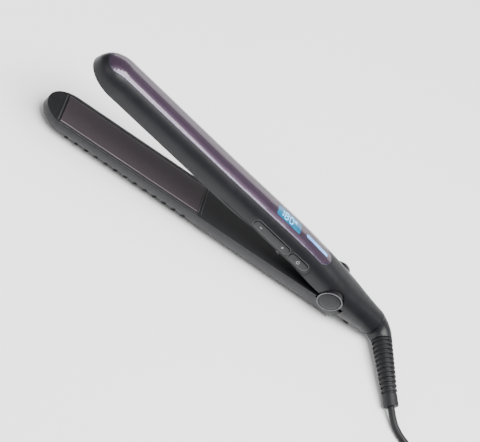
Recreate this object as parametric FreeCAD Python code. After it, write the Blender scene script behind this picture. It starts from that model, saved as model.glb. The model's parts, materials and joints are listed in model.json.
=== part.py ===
"""Flat iron: two sprung arms with floating heated plates, a display, and a swivel mains cord.

Frame: +X along the iron from the tips to the cord, +Y to the far side, +Z up.
The lower arm lies on z = 0 and the upper arm stands open on its spring.
Units are millimetres.
"""
import FreeCAD
import Part
import math
import os

from FreeCAD import Placement, Rotation, Vector

# Driving dimensions of the arms.  Along an arm, x is measured from the hinge axis and
# "out" is the height above the plane where the two plates meet.
TIP_X = -235.0
TIP_SEAM_X = -224.7
NOSE_START_X = -216.0
PLATE_FRONT_X = -222.0
PLATE_REAR_X = -112.0
ARM_HALF_WIDTH = 14.7
SECTION_POWER = 2.4
SHELL_WALL = 1.5
SHELL_EDGE_OUT = 2.3
RIM_OUT = 0.6
REAR_END_X = 42.0
REAR_RADIUS = 10.2
REAR_AXIS_OUT = 1.85

# Hinge and stance.
HINGE_OUT = 1.75
HINGE_HEIGHT = 19.9
BELLY_TILT = 0.84
OPEN_ANGLE = 11.58
PIN_RADIUS = 2.5
RUNNING_GAP = 0.06
EAR_RADIUS = 9.0
EAR_INNER_Y = 10.7
LUG_RADIUS = 8.0
LUG_OUTER_Y = 10.2
LOWER_END_X = 12.2

# Plates and heaters.
PLATE_HALF_WIDTH = 12.25
PLATE_THICKNESS = 2.2
FRAME_BORDER = 2.4
HEATER_LENGTH = 84.0

# Controls and display.
INLAY_HALF_WIDTH = 8.2
INLAY_FRONT_X = -232.2
INLAY_REAR_X = -19.5
LCD_X = (-76.0, -53.0)
LCD_HALF_WIDTH = 4.3
LIGHT_X = (-47.0, -24.5)
LIGHT_HALF_WIDTH = 1.3
BUTTON_OUT = 7.2
ROCKER_X = (-83.5, -50.0)
POWER_X = (-48.0, -31.7)
BUTTON_HALF_HEIGHT = 2.3

# Cord.
CORD_RADIUS = 2.5
CORD_LENGTH = 1750.0
SWIVEL_REST_TURN = 4.3
ELBOW_TURN = 68.5
ELBOW_BEND_RADIUS = 12.9
RELIEF_END_DIRECTION = (0.494, -0.850, -0.183)
RELIEF_LENGTH = 48.5
RELIEF_RIBS = 12
COIL_CENTRE = (100.0, -116.0)
COIL_MID_RADIUS = 28.2
COIL_HALF_BREADTH = 7.5
COIL_BASE = 0.8
COIL_HEIGHT = 15.0
TIE_ANGLE = 90.0

SIDES = (-1, 1)
X_AXIS = Vector(1, 0, 0)
Y_AXIS = Vector(0, 1, 0)
Z_AXIS = Vector(0, 0, 1)
ORIGIN = Vector(0, 0, 0)

nodes = {}


# ---- small helpers ----------------------------------------------------------------

def box(x, y, z):
    """A box from three (low, high) pairs."""
    return Part.makeBox(x[1] - x[0], y[1] - y[0], z[1] - z[0], Vector(x[0], y[0], z[0]))


def rod(radius, start, end):
    """A round bar between two points."""
    start = Vector(*start)
    along = Vector(*end).sub(start)
    return Part.makeCylinder(radius, along.Length, start, along)


def tube_ring(outer, inner, start, end):
    """A round sleeve between two points."""
    return rod(outer, start, end).cut(rod(inner, start, end))


def fuse(shapes):
    """Join overlapping shapes into one solid without seam lines."""
    first = shapes[0]
    if len(shapes) == 1:
        return first
    return first.fuse(shapes[1:]).removeSplitter()


def group(shapes):
    """Several separate solids kept together."""
    return Part.makeCompound(shapes)


def cut(shape, *tools):
    """Take each tool away from the shape."""
    for tool in tools:
        shape = shape.cut(tool)
    return shape


def one_solid(shape):
    """The largest solid of a shape."""
    return max(shape.Solids, key=lambda solid: solid.Volume)


def stadium(x, half_width, z, across="y", centre=0.0):
    """A prism with round ends along x; it stands along z, or along y when across is z."""
    straight = (x[0] + half_width, x[1] - half_width)
    if across == "y":
        pieces = [box(straight, (centre - half_width, centre + half_width), z)]
        for end in straight:
            pieces.append(rod(half_width, (end, centre, z[0]), (end, centre, z[1])))
    else:
        pieces = [box(straight, z, (centre - half_width, centre + half_width))]
        for end in straight:
            pieces.append(rod(half_width, (end, z[0], centre), (end, z[1], centre)))
    return fuse(pieces)


def half_curve(x, half_width, depth, power, centre=0.0, sign=1):
    """One half of a superellipse in the plane of constant x, as a smooth edge."""
    points = []
    steps = 14
    for step in range(steps + 1):
        angle = math.pi * step / steps
        across = math.cos(angle)
        y = half_width * math.copysign(abs(across) ** (2 / power), across)
        z = centre + sign * depth * max(math.sin(angle), 0.0) ** (2 / power)
        points.append(Vector(x, y, z))
    curve = Part.BSplineCurve()
    curve.interpolate(points)
    return curve.toShape()


def half_section(station, inset):
    """A closed D-shaped wire of an arm at one station."""
    x, half_width, depth, centre, power = station
    curve = half_curve(x, half_width - inset, depth - inset, power, centre)
    start = curve.Vertexes[0].Point
    end = curve.Vertexes[-1].Point
    return Part.Wire([curve, Part.makeLine(end, start)])


def full_section(x, half_width, top, bottom, centre, power, inset):
    """A closed oval wire of the rear housing at one station."""
    upper_half = half_curve(x, half_width - inset, top - inset, power, centre, 1)
    lower_half = half_curve(x, half_width - inset, bottom - inset, power, centre, -1)
    return Part.Wire([upper_half, lower_half])


# ---- outer form of the arms --------------------------------------------------------

def nose_share(x):
    """How far the rounded nose has narrowed the arm at x."""
    if x >= NOSE_START_X:
        return 1.0
    reach = (NOSE_START_X - x) / (NOSE_START_X - TIP_X)
    return math.sqrt(max(1.0 - reach * reach, 0.0))


def station(x, half_width, depth, centre=0.0, power=SECTION_POWER):
    """A section of an arm, with the nose's narrowing worked in."""
    share = nose_share(x)
    tip_depth = 6.0
    return (x, half_width * share, tip_depth + (depth - tip_depth) * share, centre, power)


UPPER_DEPTHS = (
    (NOSE_START_X, 17.1),
    (-125, 17.1),
    (-105, 17.3),
    (-85, 17.7),
    (-65, 18.0),
    (-45, 18.0),
    (-35, 17.7),
    (-26, 17.2),
)
# Position, half-width, depth above the axis, height of the axis, roundness, depth below it.
UPPER_REAR = (
    (-17, 14.7, 16.6, 0.0, 2.4, 14.0),
    (-8, 14.7, 15.7, 0.1, 2.4, 13.8),
    (0, 14.5, 14.6, 0.4, 2.4, 13.4),
    (7, 14.2, 13.4, 0.8, 2.36, 12.7),
    (14, 13.6, 12.4, 1.2, 2.3, 12.0),
    (21, 12.7, 11.5, 1.5, 2.22, 11.4),
    (28, 11.7, 10.9, 1.7, 2.14, 10.9),
    (35, 10.8, 10.5, 1.82, 2.06, 10.5),
    (REAR_END_X, REAR_RADIUS, REAR_RADIUS, REAR_AXIS_OUT, 2.0, REAR_RADIUS),
)
HOUSING_START_X = 0.0


def floor_out(x):
    """How far out the table lies below the lower arm at x."""
    return HINGE_HEIGHT - HINGE_OUT + x * math.tan(math.radians(BELLY_TILT))


RIB_PROUD = 0.75
BELLY_SINK = 0.8
LOWER_STATIONS = (
    (NOSE_START_X, 0.35),
    (-125, 0.35),
    (-117, 0.35),
    (-111, 0.1),
    (-104, -0.45),
    (-97, -BELLY_SINK),
    (-10, -BELLY_SINK),
    (LOWER_END_X, -BELLY_SINK),
)
LOWER_DEPTHS = tuple((x, floor_out(x) - clear) for x, clear in LOWER_STATIONS)


def nose_x(turn):
    """Where the rounded nose has turned by an angle in degrees."""
    return NOSE_START_X - (NOSE_START_X - TIP_X) * math.sin(math.radians(turn))


SEAM_TURN = math.degrees(math.asin((NOSE_START_X - TIP_SEAM_X) / (NOSE_START_X - TIP_X)))
NOSE_LAST_TURN = 84.0


def seam_stations(depths):
    """Stations from the tip seam to the nose's start."""
    first_depth = depths[0][1]
    shares = (1, 0.75, 0.5, 0.25)
    return [station(nose_x(SEAM_TURN * share), ARM_HALF_WIDTH, first_depth) for share in shares]


def nose_stations(first_depth):
    """Stations from the tip seam to the tip."""
    steps = 9
    turns = [SEAM_TURN + (NOSE_LAST_TURN - SEAM_TURN) * step / steps for step in range(steps + 1)]
    return [station(nose_x(turn), ARM_HALF_WIDTH, first_depth) for turn in turns]


def upper_form(inset=0.0):
    """The upper arm's outer form, or one inset from it."""
    stations = seam_stations(UPPER_DEPTHS)
    stations += [station(x, ARM_HALF_WIDTH, depth) for x, depth in UPPER_DEPTHS]
    stations += [station(*numbers[:5]) for numbers in UPPER_REAR]
    return loft_stations(stations, inset)


def lower_form(inset=0.0):
    """The lower arm's outer form, or one inset from it."""
    stations = seam_stations(LOWER_DEPTHS)
    stations += [station(x, ARM_HALF_WIDTH, depth) for x, depth in LOWER_DEPTHS]
    return loft_stations(stations, inset)


def loft_stations(stations, inset):
    """A solid through the sections, stretched past the ends when it is an inset one."""
    if inset > 0.3:
        first = stations[0]
        last = stations[-1]
        stations = [(first[0] - 1.0,) + first[1:]] + stations[1:-1] + [(last[0] + 1.0,) + last[1:]]
    return loft([half_section(numbers, inset) for numbers in stations])


def loft(wires):
    """A solid with straight stretches from each section to the next."""
    return Part.makeLoft(wires, True, True)


def nose_form(first_depth):
    """The rounded end of an arm, from the tip seam to the tip."""
    return loft([half_section(numbers, 0.0) for numbers in nose_stations(first_depth)])


def rear_form(inset=0.0):
    """The closed rear housing behind the hinge."""
    wires = []
    for x, half_width, depth, centre, power, bottom in UPPER_REAR:
        if x >= HOUSING_START_X:
            wires.append(full_section(x, half_width, depth, bottom, centre, power, inset))
    return loft(wires)


BIG = 400.0


def beyond(low_x=-BIG, high_x=BIG, low_out=-BIG, high_out=BIG):
    """A block that keeps or removes everything between the given limits."""
    return box((low_x, high_x), (-60, 60), (low_out, high_out))


# ---- placing an arm's pieces --------------------------------------------------------

def upper_place(shape):
    """From the upper arm's own frame to the iron's frame."""
    placed = shape.copy()
    placed.translate(Vector(0, 0, -HINGE_OUT))
    placed.rotate(ORIGIN, Y_AXIS, OPEN_ANGLE - BELLY_TILT)
    placed.translate(Vector(0, 0, HINGE_HEIGHT))
    return placed


def lower_place(shape):
    """From the lower arm's own frame, where out is down, to the iron's frame."""
    placed = shape.mirror(ORIGIN, Z_AXIS)
    placed.translate(Vector(0, 0, -HINGE_OUT))
    placed.rotate(ORIGIN, Y_AXIS, -BELLY_TILT)
    placed.translate(Vector(0, 0, HINGE_HEIGHT))
    return placed


def add(name, shape, place):
    """Store a finished node in the iron's frame."""
    nodes[name] = place(shape)


def stay(shape):
    """For pieces already modelled in the iron's frame."""
    return shape


# ---- pieces that both arms share ------------------------------------------------------

LEAD_OUT = 6.9
LEAD_Y = 4.2


def plate_tray(form):
    """Heat-resistant frame: a rim that shows round the plate, and a trough behind it."""
    front = TIP_SEAM_X + 0.15
    rear = PLATE_REAR_X + FRAME_BORDER
    rim = form.common(beyond(front, rear, RIM_OUT, SHELL_EDGE_OUT - 0.05))
    well = box((PLATE_FRONT_X - 0.9, PLATE_REAR_X + 0.9), (-12.8, 12.8), (SHELL_EDGE_OUT - 0.4, 4.0))
    trough = box((PLATE_FRONT_X + 1.0, PLATE_REAR_X - 1.0), (-7.4, 7.4), (4.0, 9.8))
    tray = fuse([rim, well.common(form.common(beyond(front, rear))), trough])
    opening = box(
        (PLATE_FRONT_X - 0.2, PLATE_REAR_X + 0.2),
        (-PLATE_HALF_WIDTH - 0.2, PLATE_HALF_WIDTH + 0.2),
        (-1.0, 3.4),
    )
    hollow = box((PLATE_FRONT_X + 2.0, PLATE_REAR_X - 2.0), (-6.5, 6.5), (3.0, 8.9))
    lead_slot = box((PLATE_REAR_X - 4, PLATE_REAR_X + 1), (-5.2, 5.2), (LEAD_OUT - 1.0, LEAD_OUT + 1.0))
    return cut(tray, opening, hollow, lead_slot)


def heated_plate():
    """Extruded aluminium plate with eased long edges and two rails for the heater."""
    slab = box((PLATE_FRONT_X, PLATE_REAR_X), (-PLATE_HALF_WIDTH, PLATE_HALF_WIDTH), (0, PLATE_THICKNESS))
    long_edges = [
        edge
        for edge in slab.Edges
        if abs(edge.BoundBox.XLength - (PLATE_REAR_X - PLATE_FRONT_X)) < 0.01 and edge.BoundBox.ZMax < 0.01
    ]
    slab = slab.makeFillet(1.3, long_edges)
    middle = (PLATE_FRONT_X + PLATE_REAR_X) / 2
    rails = []
    for side in SIDES:
        inner, outer = sorted((side * 5.2, side * 6.0))
        rail_x = (middle - HEATER_LENGTH / 2, middle + HEATER_LENGTH / 2)
        rails.append(box(rail_x, (inner, outer), (PLATE_THICKNESS - 0.2, 6.0)))
    return fuse([slab] + rails)


def heater_bar():
    """Ceramic heater in its foil, lying between the plate's rails."""
    middle = (PLATE_FRONT_X + PLATE_REAR_X) / 2
    half = HEATER_LENGTH / 2 - 4
    return box((middle - half, middle + half), (-5.1, 5.1), (PLATE_THICKNESS + 0.02, 4.7))


def heater_clips():
    """Three spring clips that press the heater on to the plate."""
    middle = (PLATE_FRONT_X + PLATE_REAR_X) / 2
    clips = []
    for x in (middle - 28, middle, middle + 28):
        clips.append(box((x - 4, x + 4), (-5.15, 5.15), (4.75, 5.3)))
    return group(clips)


def plate_springs():
    """Two small compression springs that let the plate float."""
    springs = []
    for x in (PLATE_FRONT_X + 6.6, PLATE_REAR_X - 6.6):
        helix = Part.makeHelix(1.8, 5.4, 2.2)
        wire_radius = 0.45
        profile = Part.Wire(Part.makeCircle(wire_radius, Vector(2.2, 0, 0), Y_AXIS))
        spring = Part.Wire(helix).makePipeShell([profile], True, True)
        spring.translate(Vector(x, 0, PLATE_THICKNESS + 0.65))
        springs.append(spring)
    return group(springs)


def thermal_fuse():
    """Thermostat capsule lying on the middle clip."""
    middle = (PLATE_FRONT_X + PLATE_REAR_X) / 2
    return rod(1.3, (middle + 10, 0, 6.65), (middle + 21, 0, 6.65))


def heater_leads(end_x):
    """Two insulated wires from the heater to the rear."""
    start_x = (PLATE_FRONT_X + PLATE_REAR_X) / 2 + HEATER_LENGTH / 2 - 3
    leads = []
    for y in (-LEAD_Y, LEAD_Y):
        leads.append(rod(0.7, (start_x, y, LEAD_OUT), (end_x, y, LEAD_OUT)))
    return group(leads)


def pan_screw(x, y, head_out):
    """A small recessed pan-head screw, head towards the meeting plane."""
    head = rod(2.1, (x, y, head_out), (x, y, head_out + 1.1))
    shank = rod(0.98, (x, y, head_out + 1.0), (x, y, head_out + 7.5))
    slots = fuse([
        box((x - 1.3, x + 1.3), (y - 0.25, y + 0.25), (head_out - 0.1, head_out + 0.5)),
        box((x - 0.25, x + 0.25), (y - 1.3, y + 1.3), (head_out - 0.1, head_out + 0.5)),
    ])
    return cut(fuse([head, shank]), slots)


def screw_hole(x, y, seat_out):
    """Counterbore and clearance hole for a pan screw, to be cut from a cover."""
    return fuse([
        rod(2.3, (x, y, -5), (x, y, seat_out)),
        rod(1.3, (x, y, -5), (x, y, seat_out + 20)),
    ])


def screw_post(x, y, out, form):
    """A post from a shell's ceiling that takes a screw."""
    post = rod(2.7, (x, y, out), (x, y, 24)).common(form)
    return post.cut(rod(1.0, (x, y, out - 1), (x, y, out + 8)))


UPPER_SCREW_X = (-103.0, -22.0)
LOWER_SCREW_X = (-46.0, -22.0)
SCREW_HEAD_OUT = 1.35


# ---- upper arm -----------------------------------------------------------------------

upper_outer = upper_form()
upper_inner = upper_form(SHELL_WALL)
upper_nose = nose_form(UPPER_DEPTHS[0][1])
rear_outer = rear_form()
rear_inner = rear_form(SHELL_WALL)

# The rear faces of the lower arm and the rear housing run parallel while the iron is open.
rear_split = beyond(high_x=LOWER_END_X + 0.6)
rear_split.translate(Vector(0, 0, -HINGE_OUT))
rear_split.rotate(ORIGIN, Y_AXIS, -OPEN_ANGLE)
rear_split.translate(Vector(0, 0, HINGE_OUT))

stem_hole = rod(7.5, (REAR_END_X - 4.5, 0, REAR_AXIS_OUT), (REAR_END_X + 1, 0, REAR_AXIS_OUT))
cavity_end = beyond(high_x=REAR_END_X - 4.5)

inlay_prism = stadium((INLAY_FRONT_X, INLAY_REAR_X), INLAY_HALF_WIDTH, (3.0, 30.0))
inlay_core_prism = stadium(
    (INLAY_FRONT_X + 0.9, INLAY_REAR_X - 0.9), INLAY_HALF_WIDTH - 0.9, (3.0, 30.0)
)
lcd_prism = box(LCD_X, (-LCD_HALF_WIDTH, LCD_HALF_WIDTH), (3.0, 30.0))
lcd_prism = lcd_prism.makeFillet(1.3, [edge for edge in lcd_prism.Edges if edge.BoundBox.ZLength > 5])
light_prism = stadium(LIGHT_X, LIGHT_HALF_WIDTH, (3.0, 30.0))


def bezel_prism():
    """Side view of the button panel: a round-topped bay with a thin wedge ahead of it."""
    bay = stadium((-87.5, -28.0), 4.2, (-30.0, -4.0), "z", 6.6)
    foot = box((-87.5, -28.0), (-30.0, -4.0), (0.0, 6.6))
    outline = Part.makePolygon([
        Vector(-110.0, -30.0, 0.0),
        Vector(-110.0, -30.0, 2.6),
        Vector(-102.0, -30.0, 4.0),
        Vector(-84.0, -30.0, 5.6),
        Vector(-84.0, -30.0, 0.0),
        Vector(-110.0, -30.0, 0.0),
    ])
    wedge = Part.Face(outline).extrude(Vector(0, 26, 0))
    return fuse([bay, foot, wedge])


def ear_room(radius, inner_y, out):
    """Round spaces for the two hinge ears to turn in."""
    return [rod(radius, (0, side * inner_y, out), (0, side * 20, out)) for side in SIDES]


ear_sweeps = ear_room(EAR_RADIUS + 0.4, EAR_INNER_Y - 0.3, HINGE_OUT)
button_bay = bezel_prism()
shell_edge = beyond(high_out=SHELL_EDGE_OUT)
full_upper = fuse([upper_outer, upper_nose])


def upper_shell():
    """Outer casing with openings for the inlay, display, light, button panel and hinge."""
    hollow = fuse([upper_inner.common(cavity_end), beyond(TIP_SEAM_X - 5, TIP_SEAM_X + 0.01, 0, 9)])
    shell = cut(upper_outer, hollow, shell_edge, stem_hole, button_bay, *ear_sweeps)
    for x in UPPER_SCREW_X:
        shell = shell.fuse(screw_post(x, 0, SHELL_EDGE_OUT + 1.7, upper_outer))
    pocket = inlay_prism.common(full_upper).cut(inlay_floor)
    return one_solid(cut(shell, pocket, lcd_prism, light_prism))


def inset_upper(inset):
    """The upper arm with its nose, inset all over, for surfaces below the outer one."""
    first_depth = UPPER_DEPTHS[0][1]
    stations = nose_stations(first_depth)[::-1]
    stations += seam_stations(UPPER_DEPTHS)[1:]
    stations += [station(x, ARM_HALF_WIDTH, depth) for x, depth in UPPER_DEPTHS]
    stations += [station(*numbers[:5]) for numbers in UPPER_REAR[:2]]
    wires = []
    for x, half_width, depth, centre, power in stations:
        wires.append(half_section((x, half_width, depth - inset, centre, power), 0.0))
    return loft(wires)


inlay_floor = inset_upper(1.1)
inlay_top = inset_upper(0.1)
UPPER_TONGUE_OUT = 9.8
LOWER_TONGUE_OUT = 8.6


def tip_cap(nose, tongue_out):
    """Rounded end cap with a tongue that plugs into the shell."""
    cap = nose.cut(beyond(high_out=RIM_OUT))
    tongue = box((TIP_SEAM_X - 3, TIP_SEAM_X + 3.4), (-5, 5), (tongue_out, tongue_out + 2.6))
    return fuse([cap, tongue])


def upper_tip_cap():
    """Tip cap whose top is let in for the front end of the inlay."""
    cap = tip_cap(upper_nose, UPPER_TONGUE_OUT)
    pocket = inlay_prism.common(full_upper).cut(inlay_floor)
    return one_solid(cap.cut(pocket))


def inlay_shell(prism):
    """The part of the inlay's thickness that stands in a prism."""
    return prism.common(inlay_top).cut(inlay_floor)


def top_inlay():
    """Gloss strip with windows for the display and the light."""
    strip = inlay_shell(inlay_core_prism)
    return one_solid(cut(strip, lcd_prism, light_prism))


def inlay_trim():
    """Thin bright ring round the gloss strip."""
    return one_solid(inlay_shell(inlay_prism).cut(inlay_core_prism))


def window(prism):
    """A clear insert flush with the inlay."""
    return one_solid(prism.common(inlay_top).cut(inset_upper(2.4)))


def skin_piece(prism, proud, thick):
    """A piece of the arm's side wall, standing proud of it or let in."""
    outer = upper_form(-proud)
    inner = upper_form(thick)
    return one_solid(prism.common(outer).cut(inner))


def button_prism(x, gap=0.0):
    """Pill-shaped outline of a side button."""
    return stadium((x[0] - gap, x[1] + gap), BUTTON_HALF_HEIGHT + gap, (-30.0, -4.0), "z", BUTTON_OUT)


def button_bezel():
    """Panel that frames the buttons, a little below the arm's surface."""
    panel = skin_piece(button_bay, -0.25, 1.75)
    return one_solid(cut(panel, shell_edge, button_prism(ROCKER_X, 0.35), button_prism(POWER_X, 0.35)))


def temperature_rocker():
    """Long minus and plus rocker with a contact stem under each end."""
    key = skin_piece(button_prism(ROCKER_X), 0.35, 1.9)
    middle = (ROCKER_X[0] + ROCKER_X[1]) / 2
    stems = [rod(1.0, (x, -13.0, BUTTON_OUT), (x, -11.6, BUTTON_OUT)) for x in (middle - 11, middle + 11)]
    ridge = rod(1.1, (middle, -13.0, BUTTON_OUT - 1.6), (middle, -13.0, BUTTON_OUT + 1.6))
    return fuse([key, ridge.common(upper_inner)] + stems)


def power_button():
    """Short power key with one contact stem."""
    key = skin_piece(button_prism(POWER_X), 0.35, 1.9)
    middle = (POWER_X[0] + POWER_X[1]) / 2
    return fuse([key, rod(1.0, (middle, -13.0, BUTTON_OUT), (middle, -11.6, BUTTON_OUT))])


def button_board():
    """Upright circuit board behind the side buttons."""
    return box((-86.5, -30.0), (-9.6, -8.6), (3.9, 9.9))


def tact_switches():
    """Three switches on the button board, one under each stem."""
    rocker_middle = (ROCKER_X[0] + ROCKER_X[1]) / 2
    power_middle = (POWER_X[0] + POWER_X[1]) / 2
    switches = []
    for x in (rocker_middle - 11, rocker_middle + 11, power_middle):
        case = box((x - 2, x + 2), (-10.35, -9.6), (BUTTON_OUT - 2, BUTTON_OUT + 2))
        plunger = rod(0.9, (x, -10.7, BUTTON_OUT), (x, -10.3, BUTTON_OUT))
        switches.append(fuse([case, plunger]))
    return group(switches)


def control_board():
    """Main circuit board under the display."""
    return box((-97.0, -31.0), (-7.6, 7.6), (10.6, 11.8))


def board_parts():
    """Relay, capacitor, two chips and a transformer block under the main board."""
    return group([
        box((-92, -80), (-5, 5), (6.3, 10.6)),
        box((-76, -70), (-4, 2), (9.2, 10.6)),
        box((-66, -57), (-5.5, 3.5), (8.8, 10.6)),
        rod(3.1, (-50, 2.5, 5.6), (-50, 2.5, 10.6)),
        box((-44, -36), (-4, 5), (7.0, 10.6)),
    ])


def lcd_module():
    """Backlit display block between the board and the window."""
    return box((LCD_X[0] - 0.5, LCD_X[1] + 0.5), (-5.5, 5.5), (11.8, 14.6))


def light_guide():
    """Light emitters under the indicator window."""
    middle = (LIGHT_X[0] + LIGHT_X[1]) / 2
    return group([box((x - 1.5, x + 1.5), (-1.2, 1.2), (11.8, 12.7)) for x in (middle - 3, middle + 3)])


ARCH_RADIUS = 420.0
ARCH_X = -60.0
ARCH_RISE = 2.0


def upper_inner_cover():
    """Closing panel of the handle's inner side, gently arched along its length."""
    front = PLATE_REAR_X + FRAME_BORDER + 0.15
    panel = upper_outer.common(beyond(front, -10.0, RIM_OUT, SHELL_EDGE_OUT + 1.4))
    lip = box((front - 1, -9), (-20, 20), (SHELL_EDGE_OUT - 0.05, 9)).cut(upper_form(SHELL_WALL + 0.25))
    arch_centre = RIM_OUT + ARCH_RISE - ARCH_RADIUS
    arch = rod(ARCH_RADIUS, (ARCH_X, -20, arch_centre), (ARCH_X, 20, arch_centre))
    panel = cut(panel, lip, button_bay_clear, *ear_sweeps)
    panel = panel.cut(arch.common(beyond(front - 1, -9, -5, RIM_OUT + ARCH_RISE)))
    for x in UPPER_SCREW_X:
        panel = panel.cut(screw_hole(x, 0, 2.5))
    return one_solid(panel)


button_bay_clear = box((-88.0, -27.5), (-30.0, -12.6), (SHELL_EDGE_OUT - 0.05, 12.0))


def upper_screws():
    """Screws that hold the upper inner cover."""
    return group([pan_screw(x, 0, SCREW_HEAD_OUT) for x in UPPER_SCREW_X])


def rear_lower_cover():
    """Lower half of the rear housing, closing it round the swivel."""
    cover = cut(rear_outer, beyond(low_out=SHELL_EDGE_OUT - 0.1), rear_split)
    cover = cut(cover, rear_inner.common(cavity_end), stem_hole)
    slot = box((24.6, 33.0), (-2.5, 2.5), (-20, -6))
    return one_solid(cover.cut(slot))


def hinge_bracket():
    """Two lugs that carry the hinge pin, joined by a bridge inside the upper arm."""
    lugs = []
    for side in SIDES:
        near, far = side * 4.6, side * LUG_OUTER_Y
        lugs.append(rod(LUG_RADIUS, (0, near, HINGE_OUT), (0, far, HINGE_OUT)))
        inner, outer = sorted((near, far))
        lugs.append(box((-7.0, 7.0), (inner, outer), (HINGE_OUT, 8.0)))
    bridge = box((-9.0, 11.0), (-8.6, 8.6), (7.2, 9.2))
    body = fuse(lugs + [bridge])
    return one_solid(body.cut(rod(PIN_RADIUS, (0, -20, HINGE_OUT), (0, 20, HINGE_OUT))))


def hinge_pin():
    """Steel pin through the lugs and both ears."""
    return rod(PIN_RADIUS, (0, -14.2, HINGE_OUT), (0, 14.2, HINGE_OUT))


def hinge_spring():
    """Torsion spring wound on the pin; its legs push the two arms apart."""
    turns = 4.5
    pitch = 1.35
    mean_radius = 3.7
    wire_radius = 0.5
    helix = Part.makeHelix(pitch, pitch * turns, mean_radius)
    profile = Part.Wire(Part.makeCircle(wire_radius, Vector(mean_radius, 0, 0), Y_AXIS))
    coil = Part.Wire(helix).makePipeShell([profile], True, True)
    coil.translate(Vector(0, 0, -pitch * turns / 2))
    coil.rotate(ORIGIN, X_AXIS, -90)
    coil.translate(Vector(0, 0, HINGE_OUT))
    low = coil.BoundBox.YMin + wire_radius
    high = coil.BoundBox.YMax - wire_radius
    lower_leg = rod(wire_radius, (mean_radius, low, HINGE_OUT), (mean_radius - 0.4, low, HINGE_OUT - 9.5))
    upper_end = (-mean_radius - 0.4, high, HINGE_OUT + 4.6)
    upper_leg = rod(wire_radius, (-mean_radius, high, HINGE_OUT), upper_end)
    return fuse([coil, lower_leg, upper_leg])


def swivel_bearing():
    """Bush that the cord's stem turns in."""
    return tube_ring(
        7.5, 6.0 + RUNNING_GAP, (REAR_END_X - 4.5, 0, REAR_AXIS_OUT), (REAR_END_X, 0, REAR_AXIS_OUT)
    )


def contact_fingers():
    """Two brass fingers that press on the slip rings."""
    fingers = []
    for x in (24.0, 29.0):
        base = box((x - 1, x + 1), (-3.6, 3.6), (8.1, 8.9))
        finger = box((x - 0.7, x + 0.7), (-1.2, 1.2), (REAR_AXIS_OUT + 3.7, 8.2))
        fingers.append(fuse([base, finger]))
    return group(fingers)


def contact_block():
    """Insulating block that carries the contact fingers."""
    return box((21.5, 31.5), (-4.0, 4.0), (8.9, 9.9))


# ---- hinge lock ------------------------------------------------------------------------

def lock_slider():
    """Thumb slider under the rear housing that holds the arms closed."""
    plate = box((22.0, 33.0), (-3.4, 3.4), (-6.4, -5.5))
    stem = box((27.4, 32.6), (-2.1, 2.1), (-10.2, -5.8))
    pad = box((27.4, 32.6), (-4.2, 4.2), (-11.6, -9.9))
    pad = pad.makeFillet(1.2, [edge for edge in pad.Edges if edge.BoundBox.ZLength > 1.0])
    ridges = [box((x - 0.3, x + 0.3), (-3.4, 3.4), (-11.95, -11.4)) for x in (28.8, 30.0, 31.2)]
    tongue = box((17.2, 23.0), (-2.0, 2.0), (-6.4, -5.5))
    return fuse([plate, stem, pad, tongue] + ridges)


# ---- swivel, elbow and strain relief -------------------------------------------------

def swivel_frame():
    """Centre, axis and side direction of the swivel in the iron's frame."""
    tilt = math.radians(OPEN_ANGLE - BELLY_TILT)
    axis = Vector(math.cos(tilt), 0, -math.sin(tilt))
    up = Vector(math.sin(tilt), 0, math.cos(tilt))
    rise = up * (REAR_AXIS_OUT - HINGE_OUT)
    centre = Vector(0, 0, HINGE_HEIGHT).add(rise).add(axis * (REAR_END_X + 0.35))
    turned = math.radians(SWIVEL_REST_TURN)
    side = Vector(0, -math.cos(turned), 0).add(up * math.sin(turned))
    return centre, axis, side


SWIVEL_CENTRE, SWIVEL_AXIS, SWIVEL_SIDE = swivel_frame()


BEND_NORMAL = SWIVEL_AXIS.cross(SWIVEL_SIDE)


def round_section(centre, direction, radius):
    """A circular wire square to a direction, with its seam always on the same side."""
    wire = Part.Wire(Part.makeCircle(radius))
    wire.Placement = Placement(centre, Rotation(BEND_NORMAL, ORIGIN, direction, "ZXY"))
    return wire


def elbow_point(turn):
    """Point and direction on the elbow's centre line after turning by an angle in degrees."""
    angle = math.radians(turn)
    ahead = ELBOW_BEND_RADIUS * math.sin(angle)
    aside = ELBOW_BEND_RADIUS * (1 - math.cos(angle))
    point = SWIVEL_CENTRE.add(SWIVEL_AXIS * ahead).add(SWIVEL_SIDE * aside)
    direction = SWIVEL_AXIS * math.cos(angle) + SWIVEL_SIDE * math.sin(angle)
    return point, direction


RELIEF_ROOT_RADIUS = 7.3
RELIEF_END_RADIUS = 5.5


def swivel_elbow():
    """Smooth elbow on a stem that turns in the rear housing."""
    wires = []
    steps = 6
    for step in range(steps + 1):
        share = step / steps
        point, direction = elbow_point(ELBOW_TURN * share)
        radius = REAR_RADIUS + (RELIEF_ROOT_RADIUS - REAR_RADIUS) * share ** 0.8
        wires.append(round_section(point, direction, radius))
    elbow = Part.makeLoft(wires, True, False)
    stem_start = SWIVEL_CENTRE.sub(SWIVEL_AXIS * 9.0)
    neck = Part.makeCylinder(6.0, 10.0, stem_start, SWIVEL_AXIS)
    core_start = SWIVEL_CENTRE.sub(SWIVEL_AXIS * 20.0)
    core = Part.makeCylinder(2.6, 12.0, core_start, SWIVEL_AXIS)
    return fuse([elbow, neck, core])


def swivel_clip():
    """Retaining ring in front of the bush."""
    start = SWIVEL_CENTRE.sub(SWIVEL_AXIS * 6.6)
    ring = Part.makeCylinder(7.6, 1.2, start, SWIVEL_AXIS)
    return ring.cut(Part.makeCylinder(6.0, 3.0, start.sub(SWIVEL_AXIS), SWIVEL_AXIS))


def slip_rings():
    """Two brass rings on the stem's core."""
    rings = []
    for back in (13.2, 18.2):
        start = SWIVEL_CENTRE.sub(SWIVEL_AXIS * (back + 0.3))
        ring = Part.makeCylinder(3.5, 1.8, start, SWIVEL_AXIS)
        rings.append(ring.cut(Part.makeCylinder(2.6, 4.0, start.sub(SWIVEL_AXIS), SWIVEL_AXIS)))
    return group(rings)


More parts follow.
